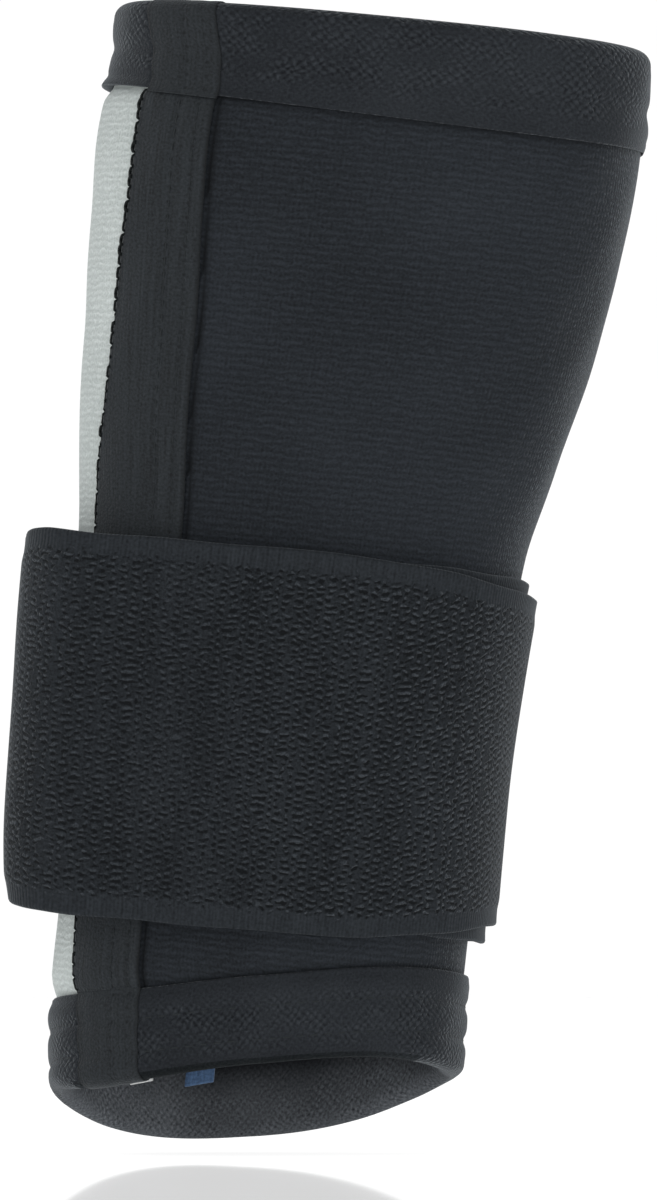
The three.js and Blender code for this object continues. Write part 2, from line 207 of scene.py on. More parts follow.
def tape_angle(z, side, rows=TAPE_ROWS):
    """Angle of the tape's left (1) or right (2) edge, from its share of the ring's half width."""
    height = np.where(z > 0, z / TOP_HEIGHT, z / BOTTOM_DEPTH)
    share = through_rows(rows[:, 0].reshape((-1,) + (1,) * z.ndim), rows[:, side], height)
    return -np.degrees(np.arcsin(share ** (SQUARENESS / 2)))


# Length round a middling ring of the sleeve, for each quarter of a degree over the strap's whole wind
RING_HALF_WIDTH, RING_HALF_DEPTH = 39, 29
RING_ANGLES = np.arange(-360, 721, 0.25)
RING_TURNS = np.radians(RING_ANGLES)
RING_POINTS = np.stack([
    RING_HALF_WIDTH * squared(np.sin(RING_TURNS)), RING_HALF_DEPTH * squared(np.cos(RING_TURNS)),
], -1)
RING_LENGTHS = np.concatenate([[0], np.cumsum(np.linalg.norm(np.diff(RING_POINTS, axis=0), axis=1))])


def around(angle):
    """Millimetres round the sleeve up to an angle."""
    return np.interp(angle, RING_ANGLES, RING_LENGTHS)


def angle_at(length):
    """Angle that lies so many millimetres round the sleeve."""
    return np.interp(length, RING_LENGTHS, RING_ANGLES)


def there_and_back(there, back=None):
    """Rows of a closed section: along one side and then back along the other."""
    return np.concatenate([there, (there if back is None else back)[:, ::-1]], 1)


def mesh_object(name, points, faces, corner_values, materials, face_material=None):
    """Makes a closed mesh from points in millimetres and quads, with named values for each face corner."""
    points = np.asarray(points, float).reshape(-1, 3)
    faces = np.asarray(faces, int)
    a, b, c, d = (points[faces[:, i]] for i in range(4))
    volume = (a * np.cross(b, c) + a * np.cross(c, d)).sum()
    order = slice(None) if volume > 0 else slice(None, None, -1)
    faces = faces[:, order]
    mesh = bpy.data.meshes.new(name)
    mesh.vertices.add(len(points))
    mesh.vertices.foreach_set("co", (points * MILLIMETRE).ravel())
    mesh.loops.add(faces.size)
    mesh.loops.foreach_set("vertex_index", faces.ravel())
    mesh.polygons.add(len(faces))
    mesh.polygons.foreach_set("loop_start", np.arange(0, faces.size, 4))
    mesh.polygons.foreach_set("use_smooth", np.ones(len(faces), bool))
    if face_material is not None:
        mesh.polygons.foreach_set("material_index", np.asarray(face_material, int))
    mesh.update(calc_edges=True)
    for key, values in corner_values.items():
        values = np.asarray(values, float)[:, order]
        kind = "FLOAT" if values.ndim == 2 else "FLOAT_VECTOR"
        attribute = mesh.attributes.new(key, kind, "CORNER")
        attribute.data.foreach_set("value" if kind == "FLOAT" else "vector", values.ravel())
    for material in materials:
        mesh.materials.append(material)
    mesh.validate()
    piece = bpy.data.objects.new(name, mesh)
    bpy.context.scene.collection.objects.link(piece)
    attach(piece, "root")
    return piece


def sweep(name, loops, values, ring, materials, kinds=0):
    """Closed body through a row of section loops, shape (loops, points, 3).

    A ring joins its last loop to its first. An open run is closed at its ends by strips that pair point j
    with the point as far from the loop's other end. values holds arrays of (loops [+1 for a ring], points),
    which go to the face corners, so that a pattern runs on over a ring's join. kinds gives the material of
    the faces that start at each point.
    """
    count, size = loops.shape[:2]
    joints = count if ring else count - 1
    i, j = np.meshgrid(np.arange(joints), np.arange(size), indexing="ij")
    far_i, far_j = (i + 1) % count, (j + 1) % size
    row, far_row = i * size, far_i * size
    faces = np.stack([row + j, far_row + j, far_row + far_j, row + far_j], -1).reshape(-1, 4)
    corners = {}
    for key, value in values.items():
        value = np.concatenate([value, value[:, -1:]], 1)
        corner = np.stack([value[i, j], value[i + 1, j], value[i + 1, j + 1], value[i, j + 1]], 2)
        corners[key] = corner.reshape((-1, 4) + value.shape[2:])
    sides = np.broadcast_to(kinds, (count, size))[:joints].ravel()
    if not ring:
        pair = np.arange(size // 2 - 1)
        start = np.stack([pair, pair + 1, size - 2 - pair, size - 1 - pair], -1)
        end = start[:, ::-1] + (count - 1) * size
        faces = np.concatenate([faces, start, end])
        for key, value in values.items():
            ends = [value[0][start], value[-1][start[:, ::-1]]]
            corners[key] = np.concatenate([corners[key]] + ends)
        sides = np.concatenate([sides, np.zeros(2 * len(pair))])
    return mesh_object(name, loops, faces, corners, materials, sides)


def threads(name, paths, outward, radius, materials):
    """Many short threads in one mesh: a six-sided tube along each path, shape (threads, points, 3).

    The radius shrinks to a third at both ends. outward, shape (threads, 3), is the way out of the cloth.
    """
    sides = 6
    ways = np.gradient(paths, axis=1)
    ways /= np.linalg.norm(ways, axis=2, keepdims=True) + 1e-9
    beside = np.cross(ways, outward[:, None, :])
    beside /= np.linalg.norm(beside, axis=2, keepdims=True) + 1e-9
    up = np.cross(beside, ways)
    turn = np.arange(sides) * 2 * np.pi / sides
    count, steps = paths.shape[:2]
    thick = np.full(steps, radius)
    thick[[0, -1]] *= 0.35
    cosine, sine = np.cos(turn)[:, None], np.sin(turn)[:, None]
    rings = paths[:, :, None] + thick[:, None, None] * (cosine * beside[:, :, None] + sine * up[:, :, None])
    k, i, j = np.meshgrid(np.arange(count), np.arange(steps - 1), np.arange(sides), indexing="ij")
    first = (k * steps + i) * sides
    far = (j + 1) % sides
    faces = np.stack([first + j, first + far, first + sides + far, first + sides + j], -1).reshape(-1, 4)
    base = np.arange(count)[:, None] * steps * sides
    caps = np.array([(0, 3, 2, 1), (0, 5, 4, 3)])
    ends = [base[:, :, None] + caps[None], base[:, :, None] + (steps - 1) * sides + caps[None, :, ::-1]]
    faces = np.concatenate([faces] + [end.reshape(-1, 4) for end in ends])
    return mesh_object(name, rings, faces, {}, materials)


class Value:
    """A shader socket that takes Python arithmetic: each operator adds a Math node to its tree."""

    def __init__(self, tree, socket=None):
        self.tree = tree
        self.socket = socket

    def make(self, kind, settings=None, inputs=None, output=0):
        """Adds any node, with its settings and the values or links of its sockets, and gives one output."""
        node = self.tree.nodes.new(kind)
        for name, setting in (settings or {}).items():
            if name == "stops":
                for place, stop in enumerate(setting):
                    ramp = node.color_ramp.elements
                    element = ramp[place] if place < len(ramp) else ramp.new(stop[0])
                    element.position, element.color = stop[0], stop[1]
            else:
                setattr(node, name, setting)
        for name, value in (inputs or {}).items():
            if isinstance(value, Value):
                self.tree.links.new(value.socket, node.inputs[name])
            else:
                node.inputs[name].default_value = value
        return Value(self.tree, node.outputs[output])

    def math(self, operation, *others):
        return self.make("ShaderNodeMath", {"operation": operation}, dict(enumerate((self,) + others)))

    def __add__(self, other):
        return self.math("ADD", other)

    __radd__ = __add__

    def __mul__(self, other):
        return self.math("MULTIPLY", other)

    __rmul__ = __mul__

    def __sub__(self, other):
        return self.math("SUBTRACT", other)

    def __rsub__(self, other):
        return self * -1 + other

    def __truediv__(self, other):
        return self.math("DIVIDE", other)

    def wave(self, length):
        """0 to 1 and back over a length, as a sine."""
        return (self * (2 * math.pi / length)).math("SINE") * 0.5 + 0.5

    def ramp(self, low, high):
        """Goes from 0 at low to 1 at high, level at both ends."""
        return self.make("ShaderNodeMapRange", {"interpolation_type": "SMOOTHSTEP"},
                         {"Value": self, "From Min": low, "From Max": high})

    def point(self, y, z=0.0):
        return self.make("ShaderNodeCombineXYZ", None, {"X": self, "Y": y, "Z": z})

    def noise(self, scale, detail=2.0):
        """Soft noise of 0 to 1 at this point."""
        return self.make("ShaderNodeTexNoise", None, {"Vector": self, "Scale": scale, "Detail": detail})

    def patches(self, other, scale, other_scale, detail=2.0):
        """Soft noise of 0 to 1 over two coordinates, each with a scale of its own."""
        return (self * scale).point(other * other_scale).noise(1.0, detail)

    def blend(self, low, high):
        """Mixes two colours by this value."""
        inputs = {0: self, 6: low, 7: high}
        return self.make("ShaderNodeMix", {"data_type": "RGBA"}, inputs, 2)


def colour(red, green, blue):
    return (red, green, blue, 1.0)


class Cloth:
    """A cloth's material: a Principled shader with the colour, roughness and relief of a weave's pattern, and
    painted shade from the mesh's shade value.
    """

    def __init__(self, name, sheen, sheen_roughness, specular, tint=(1, 1, 1)):
        self.material = bpy.data.materials.new(name)
        self.material.use_nodes = True
        self.tree = self.material.node_tree
        self.shader = self.tree.nodes["Principled BSDF"]
        self.shader.inputs["Sheen Weight"].default_value = sheen
        self.shader.inputs["Sheen Roughness"].default_value = sheen_roughness
        self.shader.inputs["Sheen Tint"].default_value = colour(*tint)
        self.shader.inputs["Specular IOR Level"].default_value = specular
        start = Value(self.tree)
        place = start.make("ShaderNodeAttribute", {"attribute_name": "cloth"}, None, 1)
        self.round = start.make("ShaderNodeSeparateXYZ", None, {0: place}, 0)
        self.along = start.make("ShaderNodeSeparateXYZ", None, {0: place}, 1)
        self.object = start.make("ShaderNodeTexCoord", None, None, 3)

    def value(self, name):
        """One of the mesh's named values, which is 0 where the mesh has none of that name."""
        return self.round.make("ShaderNodeAttribute", {"attribute_name": name}, None, 2)

    def finish(self, tone, dark, light, roughness, height):
        """Links a colour from dark to light by a tone less the painted shade, a roughness, and a relief in
        mm.
        """
        base = (tone * (1 - self.value("shade"))).blend(colour(*dark), colour(*light))
        normal = height.make("ShaderNodeBump", None, {"Distance": MILLIMETRE, "Height": height})
        for name, value in (("Base Color", base), ("Roughness", roughness), ("Normal", normal)):
            if isinstance(value, Value):
                self.tree.links.new(value.socket, self.shader.inputs[name])
            else:
                self.shader.inputs[name].default_value = value
        return self.material


# Distances over which the weaves repeat, in millimetres
KNIT_RIB, KNIT_WALE = 1.19, 0.72
LOOP_PITCH = 1.19
TAPE_RIB, RIBBON_RIB = 0.62, 0.3
COOL_TINT = (0.86, 0.94, 1.0)


def knit(name, dark, light, sheen, relief, tint=(1, 1, 1)):
    """Fine cross ribs about a millimetre apart, which fade and run together in places, over faint wales."""
    cloth = Cloth(name, sheen, 0.35, 0.15, tint)
    u, v = cloth.round, cloth.along
    sway = u.patches(v, 0.34, 0.4, 3.0)
    ribs = (v + sway * 1.8).wave(KNIT_RIB)
    broken = u.patches(v, 0.8, 0.9).ramp(0.36, 0.62)
    wales = (u + v.patches(u, 0.4, 0.2) * 0.6).wave(KNIT_WALE)
    fuzz = u.point(v).noise(2.4, 4.0)
    clouds = u.patches(v, 0.035, 0.035, 3.0)
    height = (ribs * (broken * 0.8 + 0.2) * 0.12 + wales * 0.03 + fuzz * 0.2) * relief
    tone = ribs * (broken * 0.7 + 0.3) * 0.26 + wales * 0.06 + fuzz * 0.86 + clouds * 0.4 - 0.37
    return cloth.finish(tone, dark, light, fuzz * 0.1 + 0.84, height)


def pebble(name, dark, light, sheen, specular, relief):
    """A diamond lattice of raised loops and pits about 1.2 mm apart, swayed by noise.

    It fades in places, and in a band along a fold's free edge, where the value face is 0.
    """
    cloth = Cloth(name, sheen, 0.35, specular, (0.88, 0.95, 1.0))
    u, v = cloth.round, cloth.along
    sway = u.patches(v, 0.5, 0.5, 3.0)
    other = (v * 0.5 + 9).point(u * 0.5).noise(1.0, 3.0)
    falling, rising = u + v * 0.9 + sway * 3.0, u - v * 1.1 + other * 3.0
    strong = u.patches(v, 0.14, 0.24).ramp(0.32, 0.6) * cloth.value("face")
    fuzz = u.point(v).noise(2.2, 4.0)
    clouds = u.patches(v, 0.05, 0.05, 3.0)
    lattice = falling.wave(1.5) * rising.wave(1.6)
    pits = ((falling + 0.65).wave(1.5) * (rising - 0.7).wave(1.6)).ramp(0.15, 0.75)
    height = (lattice - pits * 0.6) * (strong * 0.9 + 0.1) * relief + fuzz * 0.2
    tone = (lattice * 4 - pits * 1.6) * (strong * 0.75 + 0.1) * relief + fuzz * 0.8 + clouds * 0.4 - 0.27
    return cloth.finish(tone, dark, light, fuzz * 0.1 + 0.84, height)


def woven_tape(name, dark, light, sheen, pitch, columns=()):
    """A smooth tape with fine lengthwise ribs, longer streaks, and needle holes along its stitch columns."""
    cloth = Cloth(name, sheen, 0.4, 0.16, COOL_TINT)
    u, v = cloth.round, cloth.along
    ribs = u.wave(pitch)
    streaks = u.patches(v, 1.6, 0.06, 3.0)
    picks = v.wave(0.5)
    fuzz = u.point(v).noise(2.2, 4.0)
    holes = 0.0
    for column in columns:
        beside = u - column
        phase = (v / NEEDLE_STEP).math("FRACT") * NEEDLE_STEP - NEEDLE_STEP / 2
        holes = 1 - (beside * beside + phase * phase).ramp(0.0, 0.2) + holes
    height = ribs * 0.012 + picks * 0.01 + fuzz * 0.2 - holes * 0.07
    tone = (ribs * 0.05 + streaks * 0.8 + fuzz * 1.15 - 0.6) * (1 - holes * 0.6)
    return cloth.finish(tone, dark, light, streaks * 0.2 + 0.66, height)


def loop_face(name, dark, light, glint, sheen):
    """Rows of small slanting loops of uneven size, each over a slit, between plain ribbed edges. The loops
    carry painted highlights and the slits painted shade.

    The value face is 1 on the loops and 0 on the edges, and noise makes the border between them ragged.
    """
    cloth = Cloth(name, sheen, 0.4, 0.12, COOL_TINT)
    u, v = cloth.round, cloth.along
    ragged = u.patches(v, 1.3, 0.9)
    face = (cloth.value("face") + ragged * 1.6 - 0.8).ramp(0.2, 0.8)
    sway = u.patches(v, 0.45, 0.45, 3.0)
    other = (v * 0.45 + 9).point(u * 0.45).noise(1.0, 3.0)
    rising = v - u * 0.353 + sway * 2.2
    falling = v + u * 0.346 + other * 2.2
    between = falling - rising + LOOP_PITCH / 4
    cell = u.patches(v, 0.7, 0.9).ramp(0.3, 0.7)
    bands = u.patches(v, 0.16, 0.03)
    strong = u.patches(v, 0.05, 0.05).ramp(0.2, 0.6) * 0.5
    strong = strong + u.ramp(CLEAR_FROM, CLEAR_TO) * 0.5
    crossing = between.wave(LOOP_PITCH)
    product = rising.wave(LOOP_PITCH) * falling.wave(LOOP_PITCH) * (crossing * 0.85 + 0.15)
    grain = u.point(v).noise(3.4, 2.0).ramp(0.25, 0.7)
    lower_rising, lower_falling = rising + SLIT_DROP, falling + SLIT_DROP
    under = lower_rising.wave(LOOP_PITCH) * lower_falling.wave(LOOP_PITCH) * (crossing * 0.7 + 0.3)
    slits_and_shade = under.ramp(0.08, 0.6)
    loops = product.ramp(0.05, 0.8) * (grain * 0.65 + 0.35)
    fuzz = u.point(v).noise(1.9, 4.0)
    ribs = u.wave(TAPE_RIB)
    clear = strong * 0.6 + 0.4
    loop_height = (loops * (cell * 0.35 + 0.65) - slits_and_shade * 0.5) * clear * 0.4 + fuzz * 0.2
    edge_height = ribs * 0.05 + fuzz * 0.1
    height = loop_height * face + edge_height * (1 - face)
    # Painted highlights on the loops' tops and painted shade in the slits below them.
    loop_highlights_and_slit_shade = loops * (cell * 0.5 + 0.5) * 0.95 - slits_and_shade * 0.34
    loop_tone = loop_highlights_and_slit_shade * clear + fuzz * 0.62 + grain * 0.14 + bands * 0.3 - 0.36
    streaks = u.patches(v, 1.7, 0.25)
    edge_tone = ribs * 0.06 + streaks * 0.3 + fuzz * 0.5 - 0.17
    tone = loop_tone * face + edge_tone * (1 - face)
    return cloth.finish(tone, dark, light, 0.8 - loops * cell * face * glint, height)


def plain_thread(name, dark, light, sheen):
    """Twisted sewing thread, a little shiny."""
    cloth = Cloth(name, sheen, 0.4, sheen * 2)
    grain = cloth.object.noise(2500.0, 3.0)
    return cloth.finish(grain, dark, light, grain * 0.2 + 0.5, grain * 0.05)


# The strap's loops stand clearest, in relief and in their painted highlights and slit shade, from the middle
# of its front to the right. A slit lies so far below each.
CLEAR_FROM, CLEAR_TO = (float(around(angle)) for angle in (340.0, 385.0))
SLIT_DROP = 0.48

black_knit = knit("black_knit", (0.004, 0.005, 0.006), (0.036, 0.043, 0.053), 0.26, 1.0, (0.88, 0.95, 1.0))
grey_knit = knit("grey_knit", (0.36, 0.40, 0.39), (0.79, 0.84, 0.83), 0.05, 0.7)
lining_knit = pebble("lining_knit", (0.005, 0.006, 0.008), (0.046, 0.053, 0.061), 0.28, 0.12, 0.11)
# The lining inside the folds: the same weave as lining_knit, with lighter colours as painted light falling in
# from below, and less sheen.
painted_light_inner_lining = pebble("painted_light_inner_lining", (0.008, 0.009, 0.011), (0.25, 0.27, 0.295), 0.05, 0.06, 0.06)
shaded_lining = pebble("shaded_lining", (0.002, 0.003, 0.003), (0.05, 0.057, 0.065), 0.04, 0.02, 0.08)
black_tape = woven_tape("black_tape", (0.005, 0.006, 0.007), (0.038, 0.045, 0.051), 0.12, TAPE_RIB,
                        STITCH_COLUMNS)
strap_loops = loop_face("strap_loops", (0.002, 0.003, 0.004), (0.060, 0.070, 0.082), 0.2, 0.14)
black_thread = plain_thread("black_thread", (0.006, 0.008, 0.009), (0.024, 0.029, 0.032), 0.08)
edge_thread = plain_thread("edge_thread", (0.002, 0.003, 0.003), (0.009, 0.011, 0.011), 0.02)
blue_ribbon = woven_tape("blue_ribbon", (0.018, 0.036, 0.075), (0.08, 0.145, 0.26), 0.1, RIBBON_RIB)
white_ribbon = woven_tape("white_ribbon", (0.45, 0.46, 0.46), (0.75, 0.76, 0.76), 0.1, RIBBON_RIB)


def hook_plastic():
    """Matt hook tape: rows of tiny hooks as a fine relief."""
    cloth = Cloth("hook_plastic", 0.0, 0.4, 0.4)
    spots = cloth.object.make("ShaderNodeTexVoronoi", None, {"Vector": cloth.object, "Scale": 1100.0})
    tone = spots.ramp(0.1, 0.7)
    return cloth.finish(tone, (0.02, 0.021, 0.023), (0.006, 0.006, 0.007), 0.55, (1 - tone) * 0.3)


# Rows up the wall, closer beside the hems' free edges. A place runs from -1 at the wall's lower end over 0
# and 1 at the hems' free edges to 2 at its upper end.
BESIDE_EDGE = np.array([0, 0.002, 0.005, 0.009, 0.014, 0.02])
WALL_PLACES = np.concatenate([
    [-1, -0.5], BESIDE_EDGE, np.linspace(0.03, 0.97, 76), 1 - BESIDE_EDGE[::-1], [1.5, 2],
])
END_INSET = 3.4


def wall_height(angle, place):
    low, high = bottom_edge(angle), top_edge(angle)
    end_low, end_high = bottom_rim(angle) + END_INSET, top_rim(angle) - END_INSET
    below, above = mix(end_low, low, place + 1), mix(high, end_high, place - 1)
    return np.where(place < 0, below, np.where(place <= 1, mix(low, high, place), above))


def wall_panel(name, first, last, shares, beside_tape, materials, replaced):
    """A wall sector with the knit outside and the lining inside.

    first and last are its edges' angles, and shares the places of its columns between them. The outer face
    dips beside the tape, and the wall is thinner near both ends, where the hems' linings reach inside.
    """
    angle = (first + (last - first) * shares)[:, None] + 0 * WALL_PLACES
    z = wall_height(angle, WALL_PLACES[None])
    groove, shade = beside_tape(angle, z)
    outer = sleeve(angle, z, -groove)
    from_end = np.minimum(z - bottom_rim(angle), top_rim(angle) - z)
    thick = np.where(from_end < LINING_DEPTH + 1, WALL - LINING_CLOTH - GAP, WALL)
    inner = sleeve(angle, z, -thick)
    loops = there_and_back(outer, inner)
    pattern = np.stack([around(angle), z, 0 * z], -1)
    # Painted shade: the knit's colour darkens in a line beside the tape's edge and just under and over the
    # hems' free edges.
    painted_shade_under_top = 0.5 * np.exp(-np.abs(top_edge(angle) - z) / 0.7)
    painted_shade_over_bottom = 0.35 * np.exp(-np.abs(z - bottom_edge(angle)) / 0.6)
    shade = np.maximum.reduce([shade, painted_shade_under_top, painted_shade_over_bottom])
    values = {
        "cloth": there_and_back(pattern),
        "shade": there_and_back(shade, 0 * shade),
        "face": there_and_back(0 * z + 1),
    }
    inside = np.arange(loops.shape[1]) >= len(WALL_PLACES)
    piece = sweep(name, loops, values, False, materials, inside)
    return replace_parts(piece, replaced)


def tape_shadow(side):
    """Groove on the wall just beyond the tape's edge, and a dark line of painted shade there, which fade out
    over a millimetre.
    """
    def worked_out(angle, z):
        edge = tape_angle(z, side)
        beyond = np.where((angle > edge) == (side == 2), 1, 0)
        away = np.abs(around(angle) - around(edge)) * beyond
        return 0.45 * np.exp(-away / 0.4) * beyond, 0.97 * np.exp(-(away / 0.75) ** 2) * beyond
    return worked_out


main_shares = np.concatenate([
    np.linspace(0, 0.052, 4)[:-1], np.linspace(0.052, 0.085, 12), np.linspace(0.09, 1, 90),
])
main_piece = wall_panel("main_panel_knit", TAPE_MIDDLE + SLIT, BACK_SEAM - SLIT, main_shares, tape_shadow(2),
                        [black_knit, lining_knit], "main_panel")
side_shares = np.concatenate([np.linspace(0, 0.76, 40), np.linspace(0.765, 0.99, 30), [1.0]])
side_piece = wall_panel("side_panel_knit", BACK_SEAM + SLIT - 360, TAPE_MIDDLE - SLIT, side_shares,
                        tape_shadow(1), [grey_knit, lining_knit], "side_panel")


def hem_bulge(end, angle, inward, height):
    """How far the hem's outer face stands out: soft bulges between its valleys, and a lip at its edge."""
    from_edge = height - inward
    if end > 0:
        valleys = TOP_VALLEYS
        lip = 0.8 * lobe(angle, -95, 2) - 0.5 - 0.9 * lobe(angle, 95, 2)
    else:
        valleys = BOTTOM_VALLEYS
        lip = -0.9
    strength = 0.35 + 0.65 * across(angle) ** 2
    out = 0.1 + lip * np.exp(-(from_edge / 1.5) ** 2)
    for place, depth, width in valleys:
        out = out - depth * strength * np.exp(-((from_edge - place) / width) ** 2)
    return out


TOP_OUT = GAP + HEM_CLOTH
ROLL_RADIUS = (TOP_OUT + WALL) / 2
ROLL_MIDDLE = (TOP_OUT - WALL) / 2

# Points of a hem's section on its outer face, over the roll at the rim, and down inside
OUTER_STEPS, ROLL_STEPS, INNER_STEPS = 44, 15, 22


def rolled_path(proud):
    """Outside of a fold, from its free edge over the outer face and half a circle over the rim.

    Each point has its distance out, its share of the way from the roll to the free edge, and its lift over
    the roll. proud moves it outwards from the cloth's own face.
    """
    turn = np.linspace(0, np.pi, ROLL_STEPS + 2)[1:-1]
    radius = ROLL_RADIUS + proud
    out = np.concatenate([np.full(OUTER_STEPS, TOP_OUT + proud), ROLL_MIDDLE + radius * np.cos(turn)])
    share = np.concatenate([np.linspace(1, 0, OUTER_STEPS), np.zeros(ROLL_STEPS)])
    lift = np.concatenate([np.zeros(OUTER_STEPS), -radius * np.sin(turn)])
    return out, share, lift


def hem_loops(end, angles, rim, edge, proud):
    """Outer side of a hem at each angle, from its free edge over the rim and down inside.

    Gives how far out each point is, how far inward from the rim, and the hem's height.
    """
    height = np.abs(rim(angles) - edge(angles))[:, None]
    out, share, lift = rolled_path(proud)
    inward = ROLL_RADIUS + share * (height - ROLL_RADIUS) + lift
    bulge = np.where(share > 0, hem_bulge(end, angles[:, None], inward, height), 0)
    out = out + bulge * smooth_step(0, 0.12, share)
    lining = np.broadcast_to(np.linspace(ROLL_RADIUS, LINING_DEPTH, INNER_STEPS), (len(angles), INNER_STEPS))
    out = np.concatenate([out, np.full(lining.shape, -WALL - proud)], 1)
    inward = np.concatenate([inward, lining], 1)
    rows = TOP_TAPE_ROWS if end > 0 else TAPE_ROWS
    z = np.clip(rim(angles)[:, None] - end * inward, -BOTTOM_DEPTH, TOP_HEIGHT)
    place = turned(angles)[:, None]
    under_tape = (smooth_step(-1.2, 0.8, place - tape_angle(z, 1, rows))
                  * smooth_step(-1.2, 0.8, tape_angle(z, 2, rows) - place))
    outwards = np.where(inward > ROLL_RADIUS, np.sign(out + WALL / 2), 1)
    return out - HEM_TAPE_CLOTH * under_tape * outwards, inward, height


def hem_points(end, angle, rim, out, inward):
    return sleeve(angle, rim(angle) - end * inward, out)


def lengths(points):
    """Millimetres along each row of points."""
    steps = np.linalg.norm(np.diff(points, axis=1), axis=2)
    return np.concatenate([np.zeros((len(points), 1)), np.cumsum(steps, 1)], 1)


def rim_shadow(points):
    """Shade inside the back of the hand end, where the front keeps the light off.

    It is darkest level with the front's rim, fades below it, and is none at the left and less at the right.
    """
    front = np.linspace(-90, 90, 91)
    line = sleeve(front, bottom_rim(front), 0.0)
    below = np.interp(points[..., 0], line[:, 0], line[:, 2]) - points[..., 2]
    side = smooth_step(-20, -4, points[..., 0]) * (1 - 0.6 * smooth_step(10, 24, points[..., 0]))
    fading = 0.3 + 0.67 * np.exp(-(np.maximum(below, 0) / 4.5) ** 1.4)
    return side * fading * (points[..., 1] > 4) * (below > -6)


def hem(name, end, rim, edge, replaced):
    """A folded end: the lining's cloth turned outwards round the wall's end, as one closed ring.

    Its section runs from the free edge up the outer face, over the rim, down inside to the lining's end, and
    back along the hidden side.
    """
    angles = np.linspace(0, 360, 361)
    out, inward, height = hem_loops(end, angles, rim, edge, 0.0)
    tucked = np.broadcast_to(np.linspace(LINING_DEPTH, ROLL_RADIUS, 8), (len(angles), 8))
    turn = np.linspace(np.pi, 0, 9)[1:-1]
    inside_radius = (GAP + WALL - LINING_CLOTH) / 2
    inside_middle = (GAP - WALL + LINING_CLOTH) / 2
    fold = (inside_middle + inside_radius * np.cos(turn), ROLL_RADIUS - inside_radius * np.sin(turn))
    leg = mix(ROLL_RADIUS, height - 0.15, np.linspace(0, 1, 16)[None])
    back_out = np.concatenate([np.full(8, -WALL + LINING_CLOTH), fold[0], np.full(16, GAP)])
    out = np.concatenate([out, np.broadcast_to(back_out, (len(angles), len(back_out)))], 1)
    inward = np.concatenate([inward, tucked, np.broadcast_to(fold[1], (len(angles), len(turn))), leg], 1)
    points = hem_points(end, angles[:, None], rim, out, inward)
    # the free edge's cloth is rounded by drawing its corner in
    points[:, 0] = mix(points[:, 0], points[:, -1], 0.3)
    along = lengths(points)
    pattern = np.stack([around(angles)[:, None] + 0 * along, along, 0 * along], -1)
    # Painted shade: the fold's colour darkens right at its free edge.
    shade = 0.3 * np.exp(-along / 0.5)
    face = smooth_step(3.0, 4.6, along)
    kinds = (np.arange(points.shape[1]) >= OUTER_STEPS + ROLL_STEPS // 2) * np.ones((len(angles), 1), int)
    if end < 0:
        # Painted shade at the front: the colour darkens in a line under the rim, where the faces take
        # shaded_lining, and rim_shadow darkens the inside of the back.
        past = along - along[:, [OUTER_STEPS + ROLL_STEPS // 4 + 1]]
        front = smooth_step(0.6, 0.9, lobe(angles, -6, 1))[:, None]
        shade = np.maximum(shade, 0.5 * front * np.exp(-((past - 0.3) / 2.2) ** 2))
        kinds[(front > 0) & (past > -1.3) & (past < 4.5)] = 2
        shade = np.maximum(shade, rim_shadow(points))
        face = face * (1 - front * np.exp(-(past / 2.6) ** 4))
    values = {"cloth": pattern, "shade": shade, "face": face}
    cloths = [lining_knit, painted_light_inner_lining, shaded_lining]
    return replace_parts(sweep(name, points[:-1], values, True, cloths, kinds[:-1]), replaced)


top_fold = hem("top_hem_fold", 1, top_rim, top_edge, "top_hem")
bottom_fold = hem("bottom_hem_fold", -1, bottom_rim, bottom_edge, "bottom_hem")

TAPE_ACROSS = np.concatenate([
    np.linspace(0, 0.08, 5)[:-1], np.linspace(0.08, 0.92, 24), np.linspace(0.92, 1, 5)[1:],
])


def tape_section(from_left, from_right, cloth):
    """Outer and inner side of the tape: rounded edges, and shallow valleys along its two stitch columns."""
    edge = np.minimum(from_left, from_right)
    rounding = np.sqrt(np.clip(1 - (1 - np.clip(edge / 0.45, 0, 1)) ** 2, 0, 1))
    valley = sum(0.16 * np.exp(-((from_right - column) / 0.7) ** 2) for column in STITCH_COLUMNS)
    lip = 0.08 * np.exp(-((from_right - 0.8) / 0.6) ** 2)
    relief = min(1, cloth / TAPE_CLOTH)
    return cloth / 2 * (1 + rounding) + (lip - valley) * relief, cloth / 2 * (1 - rounding)


def tape_body(name, angle, left, right, along, cloth, face_points, replaced):
    """The tape as a closed body, where face_points(side) gives its points that far from the cloth below."""
    from_left, from_right = around(angle) - around(left), around(right) - around(angle)
    # Painted shade: the tape's colour darkens along both its edges.
    shade = np.maximum(0.85 * np.exp(-(from_left / 0.55) ** 2), 0.9 * np.exp(-(from_right / 0.3) ** 2))
    outer, inner = (face_points(side) for side in tape_section(from_left, from_right, cloth))
    if along is None:
        along = lengths(np.swapaxes(outer, 0, 1)).T
    pattern = np.stack([from_right, along, 0 * along], -1)
    loops = there_and_back(outer, inner)
    values = {"cloth": there_and_back(pattern), "shade": there_and_back(shade)}
    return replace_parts(sweep(name, loops, values, False, [black_tape]), replaced)


def seam_tape():
    """The tape between the hems, following its two edges down the sleeve."""
    place = np.linspace(0.001, 0.999, 150)
    z = wall_height(np.full(150, TAPE_MIDDLE), place)
    left, right = tape_angle(z, 1)[:, None], tape_angle(z, 2)[:, None]
    angle = left + (right - left) * TAPE_ACROSS[None]
    z = wall_height(angle, place[:, None])
    return tape_body("seam_tape_strip", angle, left, right, z, TAPE_CLOTH,
                     lambda side: sleeve(angle, z, GAP + side), "seam_tape")


